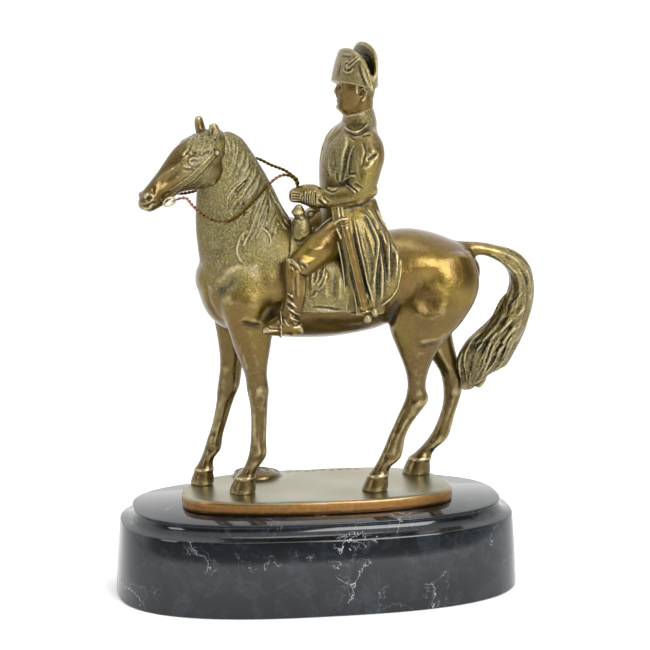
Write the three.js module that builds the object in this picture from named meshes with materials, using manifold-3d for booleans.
// A cast bronze statuette of a rider on a standing horse, on a bronze ground plate and a marble plinth.
// Millimetres, +Z up. The horse faces -X and its left side is -Y. The origin is the middle of the plinth's
// underside.
import * as THREE from "three";
import { mergeVertices } from "three/addons/utils/BufferGeometryUtils.js";
import Module from "manifold-3d";

const wasm = await Module();
wasm.setup();

// Driving dimensions of the plinth, a flat oval block with a raised top tier.
const PLINTH_LENGTH = 201;
const PLINTH_DEPTH = 112;
const PLINTH_BODY_HEIGHT = 37.5;
const PLINTH_DRAFT = 2.6;
const PLINTH_EDGE = 1.2;
const TIER_HEIGHT = 6.5;
const TIER_LEDGE = 4.6;
const TIER_COVE = 3;
const PLINTH_SQUARENESS = 2.6;
const PLINTH_SIDES = 32;
// The tier's hollow side: where it starts and ends, as shares of the tier's height.
const COVE_START = 0.22;
const COVE_END = 0.8;

// Driving dimensions of the bronze ground plate under the horse.
const PLATE_LENGTH = 135;
const PLATE_DEPTH = 68;
const PLATE_THICKNESS = 7;
const PLATE_EDGE = 1.4;
const PLATE_SQUARENESS = 2.7;
const PLATE_SIDES = 26;
const PLATE_FOOT_INSET = 0.6;
const PLATE_WAVE = 0.9;
const WAVES_ROUND_PLATE = 3;
const RIPPLES_ROUND_PLATE = 5;
const SEAL_RADIUS = 12;
const SEAL_THICKNESS = 1.8;
const SEAL_RIM = 1.6;
const SEAL_SINK = 0.5;
const SEAL_FIELD = SEAL_THICKNESS * 0.65;
const SEAL_OVERHANG = 2;
const SEAL_PLACE = -0.2 * PLATE_LENGTH;
const SEAL_SIDES = 16;

// The figure's height from the ground under the hooves to the top of the hat. The tables of sections below
// give its form at FORM_HEIGHT, so each number in them is a share of that height.
const FIGURE_HEIGHT = 219;
const FORM_HEIGHT = 219;

// The reins: a twisted wire on each side of the neck, from the bit to the rider's hand.
const REIN_DIAMETER = 1.7;
const REIN_CLEARANCE = 0.3;
const REIN_SIDES = 6;
const REIN_STEPS = 18;
const BIT_RING = { x: -77.2, y: 6.9, z: 145.6 };
const LEFT_REIN = [
  [-66.5, -16.2, 147],
  [-62.5, -14, 143],
  [-57.6, -12.2, 138.2],
  [-51.8, -12, 135.3],
  [-45.1, -12.8, 135],
  [-39, -13.4, 138.7],
  [-32.1, -12.8, 145.3],
  [-26.5, -11.5, 151.1],
  [-22.5, -10, 154.4],
  [-18.4, -9.2, 156.3],
  [-14.6, -9.3, 155.8],
  [-11.8, -9.4, 153.2],
  [-11.2, -9.2, 149.6],
];
const RIGHT_REIN = [
  [-70, 6.6, 146.4],
  [-62, 11, 146.4],
  [-52, 12.8, 149],
  [-42, 12.6, 154],
  [-35, 10.6, 160],
  [-29.4, 5, 163.2],
  [-22.3, 1, 160.2],
  [-16.7, -2.5, 158.1],
  [-13.3, -5, 155.8],
  [-10.8, -6.6, 153.4],
  [-10.4, -7, 149.6],
];

const PLINTH_HEIGHT = PLINTH_BODY_HEIGHT + TIER_HEIGHT;
const GROUND = PLINTH_HEIGHT + PLATE_THICKNESS;
const FORM_SCALE = FIGURE_HEIGHT / FORM_HEIGHT;

const LEFT = -1;
const RIGHT = 1;

// Each table row is one oval section of a form, seen from the horse's left:
// [x and z of one edge, x and z of the other edge, half the width across, distance to the side].
const TRUNK = [
  [-58.2, 101.5, -57.2, 111, 6, 0],
  [-56.4, 93, -54.5, 120, 12, 0],
  [-52.5, 86, -47, 128, 15.5, 0],
  [-45, 80.3, -36, 134, 18, 0],
  [-34, 77.3, -22, 134.5, 19.5, 0],
  [-8, 75.2, 0, 126, 22.3, 0],
  [6, 75.3, 10, 124, 22.8, 0],
  [31, 79.5, 34, 127, 21.5, 0],
  [42, 85, 46, 128, 22, 0],
  [53, 90, 57, 126, 21.5, 0],
  [63, 91, 67, 122.3, 19, 0],
  [71.5, 93, 74, 118.8, 14.5, 0],
  [77.5, 98, 78.5, 113, 9, 0],
];
const NECK = [
  [-56, 163, -46.5, 176.5, 5.8, -1.5],
  [-58.5, 152, -39.5, 174, 6.8, -1.2],
  [-59.5, 144, -34.6, 168.5, 7.6, -0.8],
  [-59.8, 137, -30.5, 162, 8.4, -0.4],
  [-59.6, 128.5, -26.5, 155.5, 9.5, 0],
  [-58.6, 119.5, -22, 147, 11, 0],
  [-57.5, 111.5, -17.5, 138, 14, 0],
  [-56.5, 104, -12, 131, 17, 0],
  [-52, 95, -6, 124, 18, 0],
];
const HEAD = [
  [-45.6, 176.5, -46.1, 165, 5, 0],
  [-48.9, 178.6, -48.5, 160, 7.2, 0],
  [-54.8, 178.5, -53.2, 154.4, 8.2, 0],
  [-60.6, 176, -59.2, 150, 8.4, 0],
  [-66.4, 173.7, -64.8, 149.1, 7.6, 0],
  [-71.8, 169.7, -69.4, 148.4, 6.2, 0],
  [-76.9, 163.6, -73.5, 145.9, 5.1, 0],
  [-85.3, 153.5, -81.1, 141.5, 4.6, 0],
  [-88.3, 150, -84.9, 140.2, 4.5, 0],
  [-89.8, 146.4, -88.1, 141.3, 3, 0],
];
const FORELEG_LEFT = [
  [-50, 112, -24, 116, 6.5, -12],
  [-47, 88, -23, 88, 7.5, -12],
  [-41.5, 71, -25.6, 71, 5.8, -10.5],
  [-36.5, 58, -27, 57.6, 4.5, -10],
  [-35.8, 51.3, -26.1, 51.3, 4.6, -10],
  [-34.4, 44.5, -26.7, 45.5, 3.8, -9.8],
  [-34.3, 24.5, -27.5, 25.5, 3, -9.2],
  [-35.1, 18.5, -27.2, 19, 3.6, -9],
  [-39.2, 9.7, -32.4, 10.8, 3.3, -8.5],
  [-41.6, 7.4, -33.2, 7.6, 4.3, -8.5],
  [-45.2, -0.6, -32.8, -0.6, 5.6, -8.5],
];
const FORELEG_RIGHT = [
  [-52, 112, -26, 116, 6.5, 12],
  [-50.2, 88, -28, 88, 7.5, 12],
  [-47.2, 70.5, -34, 69.5, 5.6, 11.6],
  [-47, 54.5, -36.6, 55, 4.5, 12],
  [-48, 47.5, -37.6, 49, 4.5, 12],
  [-48.6, 40.5, -40.4, 42.5, 3.7, 12],
  [-53.6, 21.5, -46, 24, 3.1, 12.4],
  [-55.4, 15.5, -47, 17.4, 3.6, 12.5],
  [-57.6, 10.8, -50.6, 12.8, 3.3, 12.5],
  [-59.4, 7.4, -51, 7.6, 4.3, 12.5],
  [-62.2, -0.6, -50.8, -0.6, 5.5, 12.5],
];
const HINDLEG_LEFT = [
  [39, 113, 75, 117, 8.5, -10.5],
  [35.5, 100, 78.4, 104, 10.2, -12.4],
  [33.6, 89, 76.6, 94, 10.4, -13],
  [36.6, 73.5, 62.4, 75.5, 7.8, -14],
  [41.6, 60.5, 53.4, 61.5, 5.1, -15],
  [42.7, 48.6, 51.4, 49.6, 3.9, -15],
  [41.3, 43.2, 53, 44.8, 4.3, -15],
  [36.2, 32, 44.8, 33.4, 3.2, -15],
  [30.6, 19.4, 40.4, 20.4, 3.3, -15],
  [26, 10.6, 34, 11.4, 3.3, -15],
  [23.4, 7.6, 32.6, 7.6, 4.3, -15],
  [19.8, -0.6, 32.4, -0.6, 5.6, -15],
];
const HINDLEG_RIGHT = [
  [39, 113, 75, 117, 8.5, 10.5],
  [36.5, 100, 78.4, 104, 10.2, 12.4],
  [38.6, 89, 77, 94, 10.4, 13],
  [50.5, 72.5, 71, 75, 7.5, 14],
  [62.6, 58.5, 73.2, 61.5, 4.8, 14],
  [67.9, 47, 76.9, 49, 3.9, 14],
  [68.5, 41, 76.4, 42.5, 4, 14],
  [65.6, 27, 72.7, 29, 2.9, 14.5],
  [62.6, 20.4, 71.2, 22.4, 3.1, 14.8],
  [54.6, 11, 63.4, 12.6, 3.3, 15],
  [50.8, 7.8, 60.6, 7.8, 4.3, 15],
  [47, -0.6, 60.6, -0.6, 5.5, 15],
];
const TAIL = [
  [67, 121.6, 74, 112, 3.4, 0],
  [82.5, 120.4, 82.5, 113.6, 3.7, 0],
  [97.8, 116.2, 92.8, 109.2, 4.7, 0.8],
  [104.3, 111.7, 97, 104.4, 5.2, 1.4],
  [108.8, 105.6, 98.6, 98.8, 5.8, 2],
  [110.7, 98, 97.6, 93, 6.2, 3],
  [107.6, 78, 89.6, 79.6, 6.8, 5],
  [103.4, 70, 84, 74.2, 6.8, 6],
  [100, 62.4, 78, 69.2, 6.4, 7],
  [95.8, 55.4, 73.4, 61.4, 5.8, 8],
  [89, 50.4, 73.2, 54, 4.8, 8.5],
  [83.6, 45.6, 75.2, 47.6, 3, 8.6],
];
const TORSO = [
  [3, 124, 31, 127, 14, 0],
  [1.6, 146, 28, 146, 14, 0],
  [1.6, 163, 29.2, 163, 17, 0],
  [3.2, 170, 30, 169.5, 18.3, 0],
  [6.4, 175, 29.8, 174.8, 17.6, 0],
  [9.6, 178.6, 28.8, 179, 13, 0],
  [12.6, 181.4, 27.6, 183, 8.4, 0],
  [13.4, 184, 27, 187, 7, 0],
];
const RIDER_HEAD = [
  [15, 181, 26, 185, 5.4, 0],
  [12.6, 184.4, 27, 189, 5.8, 0],
  [10.4, 187, 28, 192.5, 6.6, 0],
  [9.9, 191.5, 28.6, 196, 7.4, 0],
  [9.6, 196.5, 29, 200, 8, 0],
  [9.8, 201.5, 28.4, 205, 8, 0],
];
const UPPER_ARM = [
  [15.6, 174, 26.6, 177, 4.6, 13.5],
  [14, 168.5, 29.4, 171.5, 6, 16.4],
  [13.4, 161.5, 29.8, 164.5, 6.3, 18],
  [12.6, 154.5, 27.8, 157.5, 6, 18.6],
  [12.4, 148, 25.6, 150.5, 5.6, 18.6],
  [13.6, 143.8, 22, 145.5, 4.4, 18.4],
];
const FOREARM_LEFT = [
  [24.4, 146, 22.6, 152.6, 4.6, -18.4],
  [18.6, 142.6, 17, 153, 5.4, -17.6],
  [4.4, 139.8, 3.4, 150.8, 5.2, -14.2],
  [0, 140.4, -0.6, 150.4, 4.8, -12.8],
  [-3, 139.6, -2.8, 151.8, 5.7, -11.6],
  [-7.4, 141.6, -8, 151.8, 4.7, -10.2],
  [-13.2, 142.8, -13.4, 149.8, 3.6, -8.6],
];
const FOREARM_RIGHT = [
  [24.4, 146, 22.6, 152.6, 4.6, 18.4],
  [18, 141.4, 18.6, 151, 5.3, 18.8],
  [3.4, 132.4, 6, 142.6, 5.5, 19.6],
  [0.4, 131, 3.2, 139.4, 4, 19.6],
  [-3.6, 129, -2, 136, 3.9, 19.6],
  [-7.6, 126.6, -7, 131.4, 3.4, 19.6],
];
const THIGH = [
  [18, 139, 18, 119, 8, 13],
  [6, 137, 9.5, 115, 8, 16.5],
  [-4, 130.6, 1.4, 113.6, 7.4, 19.6],
  [-12.4, 123.4, -5.4, 110.6, 6.6, 22.4],
  [-18.2, 118, -10.4, 107.6, 5.8, 24.4],
];
const BOOT = [
  [-20, 118.6, -10.4, 113, 5.2, 24.8],
  [-20.6, 111, -9.4, 108.6, 5.7, 25.2],
  [-20.9, 97, -10.2, 97, 4.7, 25.6],
  [-22.2, 91.6, -12, 91.6, 4.1, 25.8],
  [-23.6, 87.2, -13.6, 86.2, 3.7, 26],
];
const FOOT = [
  [-13.4, 86.4, -13.2, 82.4, 3, 26],
  [-19.4, 90, -18.4, 82, 3.6, 26.2],
  [-25.4, 87.6, -24.8, 82.2, 3.8, 26.6],
  [-30, 85.8, -29.6, 82.8, 3.1, 27],
];
// The coat's skirt, hem last: [front x, back x, z, distance to its outer side, depth of its folds].
const SKIRT = [
  [3.4, 26.4, 145, 15.5, 0.2],
  [4.2, 28.8, 136, 19, 0.5],
  [5, 32.6, 126.5, 22.6, 1],
  [6, 35.4, 116, 25.2, 1.5],
  [7, 35.4, 106, 26.6, 1.9],
  [8.2, 34, 97, 27.2, 2.2],
  [9.4, 31, 89.6, 27.2, 2.3],
];
// The coat's tail, a flap on the horse's side behind the skirt.
const COAT_TAIL = [
  [24, 133, 32, 131, 1.8, 16],
  [26, 124, 37.6, 125, 1.9, 20.4],
  [27, 115.5, 39.6, 116.5, 2.1, 23.2],
  [27, 106, 39.2, 106, 2.2, 24.6],
  [26, 92.4, 30.6, 91.8, 1.8, 24.4],
];
const HOLSTER = [
  [-13.4, 122, -8.4, 122, 3.2, 13],
  [-14.6, 128, -7.6, 128, 3.8, 13],
  [-14.2, 133.6, -8, 133.6, 3.3, 13],
  [-13.4, 135.6, -8.8, 135.6, 2.6, 13],
  [-14.4, 138, -7.8, 138, 3.3, 13],
  [-13.6, 140.4, -8.6, 140.4, 2.6, 13],
];
const SEAT = [
  [-12, 119, -9.4, 131, 6.5, 0],
  [-7, 119, -5, 132.6, 9.5, 0],
  [1, 118, 3, 128.5, 12, 0],
  [13, 118, 15, 127.4, 13, 0],
  [24, 118, 27, 129.6, 13, 0],
  [30, 118, 33.4, 132, 11, 0],
];
const FAR_HOLSTER_DROP = 9;
const LEFT_LOCKS = 5;
const RIGHT_LOCKS = 3;
// The saddle cloth's outline on the horse's side: x and z from the front corner along the hem, then over.
const CLOTH_OUTLINE = [
  [-24.4, 95], [-19, 92.8], [-8.6, 91.6], [4, 90], [16, 89.4], [27, 91.6],
  [30, 104], [31, 118], [32, 142], [-17, 142], [-20.4, 118],
];
const CLOTH_THICKNESS = 1.3;
const CLOTH_HEM = 2.6;
const CLOTH_HEM_RAISE = 0.7;
const MOST_WIDTH = 40;
const TRUNK_SIDES = 14;
// The coat's skirt: corners and folds along a ring, and how far out its waist and its lining stand.
const SKIRT_CORNERS = 13;
const SKIRT_FOLDS = 3;
const SKIRT_WAIST_REACH = 12;
const SKIRT_LINING_REACH = 14;
const SKIRT_SPLIT_HEIGHT = 124;

// The two-pointed hat: half its span, its points over the shoulders, and the flaps that stand up from them.
const HAT_HALF_SPAN = 17;
const HAT_POINT = { x: 23.6, z: 196.5 };
const HAT_FELT = 1.5;
const HAT_SWELL = 1.4;
const HAT_CORNERS = 6;
const FRONT_FLAP = { way: -1, topX: 13.6, footX: 9.4, footZ: 201, topZ: 215.6 };
const BACK_FLAP = { way: 1, topX: 23.6, footX: 29.6, footZ: 195.6, topZ: 218.6 };
const HAT_CROWN = [
  [9.2, 200, 28.6, 195.5, 8.6, 0],
  [9.6, 205, 28.8, 203, 9, 0],
  [12.5, 212, 27, 212, 7.4, 0],
];
const COCKADE = [
  [12.4, -6.4, 207.4],
  [11.4, -8.4, 206.6],
];
const COCKADE_LOOP = [
  [19.4, -9, 211.6],
  [15.4, -9.6, 209.6],
  [11.6, -8.4, 207],
];

// Small forms as points along them, those on one side of a head given on its right.
const NOSE = [
  [10.6, 0, 199.4],
  [9.4, 0, 196.4],
  [8.6, 0, 193.8],
  [10.4, 0, 192.4],
];
const CHIN = [
  [11.4, 0, 188],
  [11.4, 0, 186.8],
];
const RIDER_EAR = [
  [20.6, 8, 197],
  [21.6, 8.5, 194.6],
  [20, 7.4, 190.8],
];
const HORSE_EAR = [
  [-51, 4.6, 173],
  [-53, 5.8, 177],
  [-54, 5.6, 182.6],
];
const HORSE_EYELID = [
  [-67.6, 6.9, 166.4],
  [-69.4, 7.1, 165.4],
  [-71, 6.2, 163.2],
];
const BIT_LOOP = [
  [-76.4, 4.4, 149],
  [-77.4, 5.2, 146.6],
  [-76.2, 4, 144.2],
];
const FORELOCKS = [
  [
    [-54, 1.5, 177.1],
    [-60, -1.2, 177.6],
    [-63.5, -2.4, 172.6],
  ],
  [
    [-59.6, 1.5, 174.5],
    [-65.6, -1.2, 175],
    [-69.1, -2.4, 170],
  ],
];
const TAIL_TUFTS = [
  [
    [100, 6.5, 68],
    [98, 8, 59],
    [93.6, 9, 52.4],
  ],
  [
    [86, 7.5, 55],
    [84.4, 8.4, 48.6],
    [81.6, 8.6, 43.4],
  ],
];
const STIRRUP = [
  [-22.5, 21.8, 81.8],
  [-22.5, 21.8, 88],
  [-22.5, 26.4, 93],
  [-22.5, 31, 88],
  [-22.5, 31, 81.8],
];
const SWORD_GRIP = [
  [6.4, -20, 140.6],
  [7.6, -20.6, 145],
];
const COLLAR = [
  [13.4, 176, 30, 178.5, 10.6, 0],
  [12.4, 181.5, 29.6, 184.5, 8.6, 0],
  [13.2, 184.6, 28.4, 188.6, 7.4, 0],
];
const SCABBARD = [
  [7.4, -20.4, 139],
  [8.8, -24.6, 131],
  [13.6, -29.6, 112],
  [20.6, -30.6, 88],
];
const LAPEL = [
  [12, 7, 181],
  [5, 8.4, 172],
  [1.6, 6.4, 158],
  [3, 5, 146],
];

// The head is turned and tilted towards the horse's left about the poll.
const POLL = new THREE.Vector3(-48, -1, 165);
const HEAD_TURN = THREE.MathUtils.degToRad(20);
const HEAD_TILT = THREE.MathUtils.degToRad(2);

// The number between b and c at share f, on a smooth curve through a, b, c and d.
function smooth(a, b, c, d, f) {
  const bend = (2 * a - 5 * b + 4 * c - d) * f * f + (3 * b - a - 3 * c + d) * f * f * f;
  return b + 0.5 * ((c - a) * f + bend);
}

// The table row at place t, where whole numbers are the rows themselves.
function rowAt(rows, t) {
  const last = rows.length - 1;
  const i = Math.max(0, Math.min(Math.floor(t), last - 1));
  const [a, b, c, d] = [i - 1, i, i + 1, i + 2].map((k) => rows[Math.max(0, Math.min(k, last))]);
  return b.map((_, k) => smooth(a[k], b[k], c[k], d[k], t - i));
}

// A point on the skin of a form at row place t and at an angle round it, 0 on the second edge.
function onSkin(rows, t, angle, lift = 0) {
  const [x1, z1, x2, z2, half, side] = rowAt(rows, t);
  const long = Math.hypot(x2 - x1, z2 - z1) / 2;
  const c = Math.cos(angle) * (1 + lift / long);
  const s = Math.sin(angle) * (half + lift);
  return new THREE.Vector3(
    (x1 + x2) / 2 + ((x2 - x1) / 2) * c,
    side + s,
    (z1 + z2) / 2 + ((z2 - z1) / 2) * c,
  );
}

// A closed geometry from rings of points with a pole beyond each end.
function closeRings(rings, startPole, endPole) {
  const sides = rings[0].length;
  const points = [...rings.flat(), startPole, endPole];
  const start = points.length - 2;
  const end = points.length - 1;
  const faces = [];
  for (let k = 0; k < sides; k++) {
    const next = (k + 1) % sides;
    faces.push(start, next, k);
    const tail = (rings.length - 1) * sides;
    faces.push(end, tail + k, tail + next);
    for (let r = 0; r + 1 < rings.length; r++) {
      const low = r * sides;
      const high = low + sides;
      faces.push(low + k, low + next, high + next, low + k, high + next, high + k);
    }
  }
  const geometry = new THREE.BufferGeometry().setFromPoints(points);
  geometry.setIndex(faces);
  return geometry;
}

// A geometry as a solid with its faces pointing out.
function solidOf(geometry) {
  const bare = geometry.clone();
  bare.deleteAttribute("normal");
  bare.deleteAttribute("uv");
  const merged = mergeVertices(bare, 1e-4);
  const make = (index) =>
    new wasm.Manifold(
      new wasm.Mesh({
        numProp: 3,
        vertProperties: merged.attributes.position.array,
        triVerts: new Uint32Array(index),
      }),
    );
  const index = Array.from(merged.index.array);
  const made = make(index);
  return made.volume() > 0 ? made : make(index.reverse());
}

function geometryOf(solid) {
  const mesh = solid.getMesh();
  const geometry = new THREE.BufferGeometry();
  geometry.setAttribute("position", new THREE.BufferAttribute(mesh.vertProperties, mesh.numProp));
  geometry.setIndex(new THREE.BufferAttribute(mesh.triVerts, 1));
  geometry.computeVertexNormals();
  return geometry;
}

const joined = (solids) => solids.reduce((all, next) => all.add(next));

// A cast is solid: the pinholes that its forms close off between them are filled.
const filled = (solid) => joined(solid.decompose().filter((shell) => shell.volume() > 0));

// The same rows with their distances to the side on one side of the figure.
const onSide = (rows, side) => rows.map((row) => [...row.slice(0, 5), row[5] * side]);

// A form through its table of sections, with ends rounded by the given lengths. Flutes are ridges along it:
// every second corner of a section is drawn in by that share, and twist turns them from row to row.
function form(rows, sides, options = {}) {
  const { steps = 1, startBulge = 0.2, endBulge = 0.2, grow = 0, flutes = 0, twist = 0 } = options;
  const count = (rows.length - 1) * steps;
  const rings = [];
  for (let i = 0; i <= count; i++) {
    const ring = [];
    for (let k = 0; k < sides; k++) {
      const half = rowAt(rows, i / steps)[4];
      const lift = k % 2 ? grow - flutes * half : grow;
      ring.push(onSkin(rows, i / steps, (2 * Math.PI * k) / sides + (twist * i) / steps, lift));
    }
    rings.push(ring);
  }
  const centre = (ring) =>
    ring.reduce((sum, p) => sum.add(p), new THREE.Vector3()).divideScalar(ring.length);
  const pole = (ring, inner, bulge) => {
    const middle = centre(ring);
    return middle.clone().add(middle.clone().sub(centre(inner)).setLength(bulge));
  };
  const rounded = (ring, inner, bulge) => {
    const middle = centre(ring);
    const out = middle.clone().sub(centre(inner)).setLength(bulge * 0.6);
    return ring.map((p) => middle.clone().lerp(p, 0.75).add(out));
  };
  const last = rings.length - 1;
  const startPole = pole(rings[0], rings[1], startBulge);
  const endPole = pole(rings[last], rings[last - 1], endBulge);
  if (startBulge > 1) rings.unshift(rounded(rings[0], rings[1], startBulge));
  const end = rings.length - 1;
  if (endBulge > 1) rings.push(rounded(rings[end], rings[end - 1], endBulge));
  return solidOf(closeRings(rings, startPole, endPole));
}

// A rope, lock of hair or strap along a curve, thick half across and flat times that the other way.
function strand(points, half, sides, steps, { flat = 1, taper = () => 1, up = null } = {}) {
  const curve = new THREE.CatmullRomCurve3(points);
  const rings = [];
  for (let i = 0; i <= steps; i++) {
    const share = i / steps;
    const at = curve.getPointAt(share);
    const along = curve.getTangentAt(share);
    const side = new THREE.Vector3().crossVectors(along, up ?? new THREE.Vector3(0, 1, 0)).normalize();
    const out = new THREE.Vector3().crossVectors(side, along).normalize();
    const ring = [];
    for (let k = 0; k < sides; k++) {
      const angle = (2 * Math.PI * (k + 0.5)) / sides;
      const size = half * taper(share);
      ring.push(
        at
          .clone()
          .addScaledVector(side, Math.cos(angle) * size)
          .addScaledVector(out, Math.sin(angle) * size * flat),
      );
    }
    rings.push(ring);
  }
  const first = curve.getPointAt(0).addScaledVector(curve.getTangentAt(0), -half * 0.3 * taper(0));
  const last = curve.getPointAt(1).addScaledVector(curve.getTangentAt(1), half * 0.3 * taper(1));
  return solidOf(closeRings(rings, first, last));
}

const at = (x, y, z) => new THREE.Vector3(x, y, z);

// A table's points as given, or on the other side of the figure.
const placed = (points, side = RIGHT) => points.map(([x, y, z]) => at(x, side * y, z));

// A point of a flat oval whose corners get squarer as the squareness grows.
function ovalPoint(halfLength, halfDepth, squareness, angle, z) {
  const share = (v) => Math.sign(v) * Math.abs(v) ** (2 / squareness);
  return at(halfLength * share(Math.cos(angle)), halfDepth * share(Math.sin(angle)), z);
}

// A flat oval block from rows of [inset from the outline, z].
function ovalBlock(length, depth, squareness, sides, rows, wave = () => 0) {
  const rings = rows.map(([inset, z]) => {
    const ring = [];
    for (let k = 0; k < sides; k++) {
      const angle = (2 * Math.PI * (k + 0.5)) / sides;
      const off = inset + wave(angle);
      ring.push(ovalPoint(length / 2 - off, depth / 2 - off, squareness, angle, z));
    }
    return ring;
  });
  return closeRings(rings, at(0, 0, rows[0][1]), at(0, 0, rows.at(-1)[1]));
}

function plinthGeometry() {
  const tierInset = PLINTH_DRAFT + TIER_LEDGE;
  const rows = [
    [PLINTH_EDGE * 0.7, 0],
    [0, PLINTH_EDGE],
    [PLINTH_DRAFT - 0.4, PLINTH_BODY_HEIGHT - PLINTH_EDGE],
    [PLINTH_DRAFT + PLINTH_EDGE * 0.5, PLINTH_BODY_HEIGHT],
    [tierInset, PLINTH_BODY_HEIGHT + TIER_HEIGHT * COVE_START],
    [tierInset + TIER_COVE * 0.5, PLINTH_BODY_HEIGHT + TIER_HEIGHT * COVE_END],
    [tierInset + TIER_COVE * 0.4, PLINTH_HEIGHT - PLINTH_EDGE * 0.4],
    [tierInset + TIER_COVE * 0.4 + PLINTH_EDGE * 0.5, PLINTH_HEIGHT],
  ];
  return ovalBlock(PLINTH_LENGTH, PLINTH_DEPTH, PLINTH_SQUARENESS, PLINTH_SIDES, rows);
}

// The ground plate, its edge softly waved, with a round seal standing on it behind the near foreleg.
function groundPlate() {
  const wave = (angle) =>
    PLATE_WAVE * (Math.sin(WAVES_ROUND_PLATE * angle + 0.6) + 0.5 * Math.sin(RIPPLES_ROUND_PLATE * angle));
  const rows = [
    [PLATE_FOOT_INSET, -PLATE_THICKNESS],
    [0, -PLATE_THICKNESS + PLATE_EDGE],
    [PLATE_FOOT_INSET / 2, -PLATE_EDGE],
    [PLATE_EDGE, 0],
  ];
  const plate = solidOf(
    ovalBlock(PLATE_LENGTH, PLATE_DEPTH, PLATE_SQUARENESS, PLATE_SIDES, rows, wave),
  );
  const profile = [
    [0, -SEAL_SINK],
    [SEAL_RADIUS, -SEAL_SINK],
    [SEAL_RADIUS, SEAL_THICKNESS],
    [SEAL_RADIUS - SEAL_RIM, SEAL_THICKNESS],
    [SEAL_RADIUS - SEAL_RIM, SEAL_FIELD],
    [0, SEAL_FIELD],
  ].map(([r, z]) => new THREE.Vector2(r, z));
  const seal = new THREE.LatheGeometry(profile, SEAL_SIDES);
  seal.rotateX(Math.PI / 2);
  seal.translate(SEAL_PLACE, PLATE_DEPTH / 2 - SEAL_RADIUS + SEAL_OVERHANG, 0);
  return plate.add(solidOf(seal));
}

function headMatrix() {
  return new THREE.Matrix4()
    .makeTranslation(POLL.x, POLL.y, POLL.z)
    .multiply(new THREE.Matrix4().makeRotationZ(HEAD_TURN))
    .multiply(new THREE.Matrix4().makeRotationX(HEAD_TILT))
    .multiply(new THREE.Matrix4().makeTranslation(-POLL.x, 0, -POLL.z));
}

// A lock that thins towards its end.
const thinning = (t) => 1 - 0.6 * t;

// The horse's head with its ears, eyes, forelock and bit rings, turned about the poll.
function horseHead() {
  const pieces = [form(HEAD, 10, { endBulge: 0.8 })];
  for (const side of [LEFT, RIGHT]) {
    const pointed = (t) => (t < 0.4 ? 0.85 + 0.4 * t : 1 - (t - 0.4) ** 2 * 2.1);
    pieces.push(strand(placed(HORSE_EAR, side), 2.4, 5, 4, { flat: 0.6, taper: pointed }));
    pieces.push(strand(placed(HORSE_EYELID, side), 1.8, 5, 2, { taper: (t) => 0.5 + 2 * t * (1 - t) }));
    pieces.push(strand(placed(BIT_LOOP, side), 0.8, 4, 2));
  }
  for (const lock of FORELOCKS) {
    pieces.push(strand(placed(lock), 2, 4, 3, { taper: thinning }));
  }
  return joined(pieces).transform(headMatrix().elements);
}

// Wavy locks that fall from the crest down one side of the neck, and curl at their ends.
function mane(side, count) {
  const locks = [];
  for (let i = 0; i < count; i++) {
    const share = i / (count - 1);
    const start = 0.4 + 6.2 * share;
    const points = [0, 0.3, 0.62, 1].map((f, k) => {
      const fall = 0.25 + f * (1.35 + 0.25 * Math.sin(i * 2.1));
      const drift = f * (0.9 + 0.3 * Math.sin(i * 1.7)) + 0.22 * Math.sin(k * 2.4 + i);
      return onSkin(NECK, Math.min(start + drift, NECK.length - 2.4), fall * side, 0.3);
    });
    locks.push(
      strand(points, 2.9 - 0.5 * share, 4, 4, {
        flat: 0.62,
        taper: (t) => 0.75 + 0.9 * t - 1.45 * t * t,
        up: at(0, side, 0.2),
      }),
    );
  }
  return joined(locks);
}

function tail() {
  const tufts = TAIL_TUFTS.map((points) => strand(placed(points), 3.3, 5, 3, { taper: thinning }));
  return joined([form(TAIL, 10, { endBulge: 2, flutes: 0.25, twist: -0.16 }), ...tufts]);
}

function horse() {
  const legs = [FORELEG_LEFT, FORELEG_RIGHT, HINDLEG_LEFT, HINDLEG_RIGHT];
  return joined([
    form(TRUNK, TRUNK_SIDES, { startBulge: 1, endBulge: 2.2 }),
    form(NECK, 10),
    horseHead(),
    ...legs.map((rows) => form(rows, 8)),
    mane(LEFT, LEFT_LOCKS),
    mane(RIGHT, RIGHT_LOCKS),
    tail(),
  ]);
}

// A sheet on the horse's trunk, cut to an outline seen from the side.
function trunkSheet(outline, thickness) {
  const shape = new THREE.Shape(outline.map(([x, z]) => new THREE.Vector2(x, z)));
  const cutter = new THREE.ExtrudeGeometry(shape, { depth: 2 * MOST_WIDTH, bevelEnabled: false });
  cutter.rotateX(Math.PI / 2);
  cutter.translate(0, MOST_WIDTH, 0);
  return form(TRUNK, TRUNK_SIDES, { grow: thickness }).intersect(solidOf(cutter));
}

// The saddle cloth with a raised hem, and the holsters, pommel and cantle on it.
function saddle() {
  const hem = CLOTH_OUTLINE.slice(0, 6);
  const band = [...hem, ...hem.map(([x, z]) => [x, z + CLOTH_HEM]).reverse()];
  return joined([
    trunkSheet(CLOTH_OUTLINE, CLOTH_THICKNESS),
    trunkSheet(band, CLOTH_THICKNESS + CLOTH_HEM_RAISE),
    form(onSide(HOLSTER, LEFT), 6),
    form(onSide(HOLSTER, RIGHT), 6).translate([0, 0, -FAR_HOLSTER_DROP]),
    form(SEAT, 8),
  ]);
}

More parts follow.
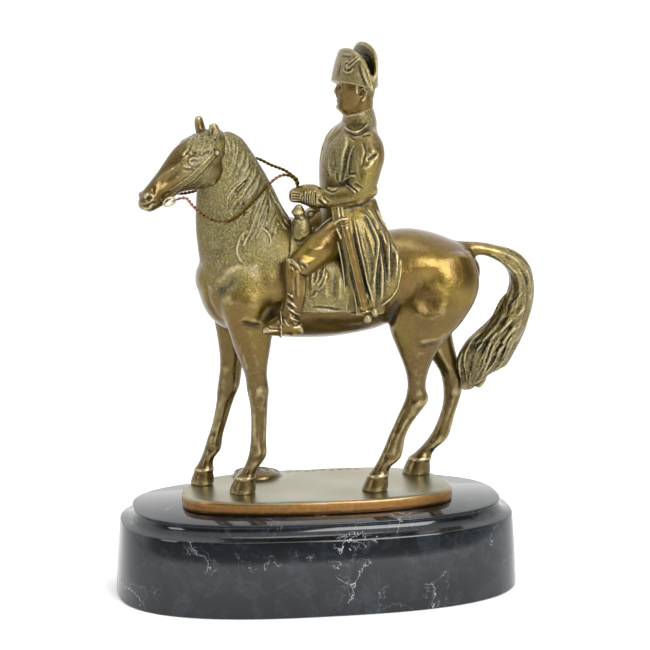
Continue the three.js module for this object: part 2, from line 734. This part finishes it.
// One side of the coat's skirt, spread over the saddle, with folds that deepen to the hem.
function skirt(side) {
  const rings = SKIRT.map(([front, back, z, reach, depth]) => {
    const ring = [];
    for (let k = 0; k <= SKIRT_CORNERS; k++) {
      const share = k / SKIRT_CORNERS;
      const round = Math.sin(Math.PI * share) ** 0.35;
      const fold = depth * Math.cos(2 * Math.PI * SKIRT_FOLDS * share + 0.4);
      const out = SKIRT_WAIST_REACH + (reach - SKIRT_WAIST_REACH) * round + fold;
      ring.push(at(front + (back - front) * share, side * out, z));
    }
    const inner = z > SKIRT_SPLIT_HEIGHT ? 0 : side * SKIRT_LINING_REACH;
    ring.push(at(back - 2, inner, z));
    ring.push(at(front + 2, inner, z));
    return ring;
  });
  const middle = (ring) => at((ring[0].x + ring[SKIRT_CORNERS].x) / 2, side * SKIRT_LINING_REACH, ring[0].z);
  return solidOf(closeRings(rings, middle(rings[0]), middle(rings.at(-1))));
}

// A leg of the rider, its boot with a stiff top, the foot in its stirrup.
function leg(side) {
  const stirrup = placed(STIRRUP, side);
  return joined([
    form(onSide(THIGH, side), 8),
    form(onSide(BOOT, side), 8),
    form(onSide(FOOT, side), 8, { endBulge: 0.8, startBulge: 0.6 }),
    strand(stirrup, 0.8, 4, 5, { up: at(1, 0, 0) }),
    strand([stirrup[0], stirrup[4]], 1.2, 4, 1, { up: at(1, 0, 0) }),
  ]);
}

// The shell of a hat flap: it stands up from the crown and falls to a point over each shoulder.
function hatFlap({ way, topX, footX, footZ, topZ }) {
  const rings = [];
  for (let i = 0; i <= HAT_CORNERS; i++) {
    const share = (2 * i) / HAT_CORNERS - 1;
    const y = HAT_HALF_SPAN * Math.sin((share * Math.PI) / 2);
    const rise = Math.sqrt(Math.max(0, 1 - (Math.abs(y) / HAT_HALF_SPAN) ** 2.4)) * 0.94 + 0.06;
    const tip = at(HAT_POINT.x, y, HAT_POINT.z);
    const foot = tip.clone().lerp(at(footX, y, footZ), rise);
    const top = tip.clone().setZ(HAT_POINT.z + 1).lerp(at(topX, y, topZ), rise);
    const mid = foot.clone().lerp(top, 0.5).add(at(way * HAT_SWELL * rise, 0, 0));
    const inward = at(-way * HAT_FELT, 0, 0);
    const outside = [foot, mid, top];
    const inside = [top, mid, foot].map((point) => point.clone().add(inward));
    rings.push([...outside, ...inside]);
  }
  const middle = (ring) => ring.reduce((sum, p) => sum.add(p), at(0, 0, 0)).divideScalar(ring.length);
  return solidOf(closeRings(rings, middle(rings[0]), middle(rings.at(-1))));
}

// A two-pointed hat worn across the head, its back flap taller than its front one, with a cockade.
function hat() {
  return joined([
    form(HAT_CROWN, 8, { endBulge: 2 }),
    hatFlap(FRONT_FLAP),
    hatFlap(BACK_FLAP),
    strand(placed(COCKADE_LOOP), 0.9, 4, 2, { up: at(0, 1, 0) }),
    strand(placed(COCKADE), 2, 6, 1, { up: at(0, 0, 1) }),
  ]);
}

function riderHead() {
  const ears = [LEFT, RIGHT].map((side) => strand(placed(RIDER_EAR, side), 1.5, 4, 2));
  const face = [strand(placed(NOSE), 1, 5, 3), strand(placed(CHIN), 1.5, 5, 1)];
  return joined([form(RIDER_HEAD, 8), ...face, ...ears]);
}

function rider() {
  const strap = { flat: 0.5, up: at(0, 1, 0), taper: (t) => 1.1 - 0.5 * t };
  const pieces = [form(TORSO, 10), form(COLLAR, 8), form(FOREARM_LEFT, 8), form(FOREARM_RIGHT, 8)];
  for (const side of [LEFT, RIGHT]) {
    pieces.push(form(onSide(UPPER_ARM, side), 8, { startBulge: 1.5 }));
    pieces.push(leg(side));
    pieces.push(skirt(side));
    pieces.push(form(onSide(COAT_TAIL, side), 6));
    pieces.push(strand(placed(LAPEL, side), 2.4, 4, 4, strap));
  }
  pieces.push(strand(placed(SCABBARD), 2.2, 4, 4, { flat: 0.6, up: at(0, 1, 0) }));
  pieces.push(strand(placed(SWORD_GRIP), 1.3, 5, 1));
  pieces.push(riderHead());
  pieces.push(hat());
  return joined(pieces);
}

// A rein's route: from the bit ring, along the neck, up over the mane and into the rider's left hand.
function reinRoute(side) {
  const bit = at(BIT_RING.x, side * BIT_RING.y, BIT_RING.z).applyMatrix4(headMatrix());
  const route = placed(side === LEFT ? LEFT_REIN : RIGHT_REIN);
  return new THREE.CatmullRomCurve3([bit, ...route]);
}

function reinTube(side, radius) {
  const shape = new THREE.Shape();
  shape.absarc(0, 0, radius, 0, 2 * Math.PI);
  const tube = new THREE.ExtrudeGeometry(shape, {
    steps: REIN_STEPS,
    curveSegments: REIN_SIDES / 2,
    bevelEnabled: false,
    extrudePath: reinRoute(side),
  });
  return solidOf(tube);
}

const BRONZE = new THREE.MeshStandardMaterial({ color: 0x8a6a30, roughness: 0.36, metalness: 1 });
const COPPER = new THREE.MeshStandardMaterial({ color: 0x9a6a52, roughness: 0.4, metalness: 1 });
const MARBLE = new THREE.MeshStandardMaterial({ color: 0x1d2024, roughness: 0.22, metalness: 0 });

function piece(name, geometry, material) {
  const mesh = new THREE.Mesh(geometry, material);
  mesh.name = name;
  return mesh;
}

const figure = joined([horse(), saddle(), rider()]);
const scaled = (solid) => solid.scale([FORM_SCALE, FORM_SCALE, FORM_SCALE]);
const reinSpace = joined([LEFT, RIGHT].map((side) => reinTube(side, REIN_DIAMETER / 2 + REIN_CLEARANCE)));
const bronze = filled(scaled(figure.subtract(reinSpace)).add(groundPlate()));

const statuette = new THREE.Group();
statuette.add(piece("marble_plinth", plinthGeometry(), MARBLE));

const cast = new THREE.Group();
cast.position.z = GROUND;
cast.add(piece("bronze_horse_and_rider", geometryOf(bronze), BRONZE));
cast.add(piece("rein_left", geometryOf(scaled(reinTube(LEFT, REIN_DIAMETER / 2))), COPPER));
cast.add(piece("rein_right", geometryOf(scaled(reinTube(RIGHT, REIN_DIAMETER / 2))), COPPER));
statuette.add(cast);

export default statuette;
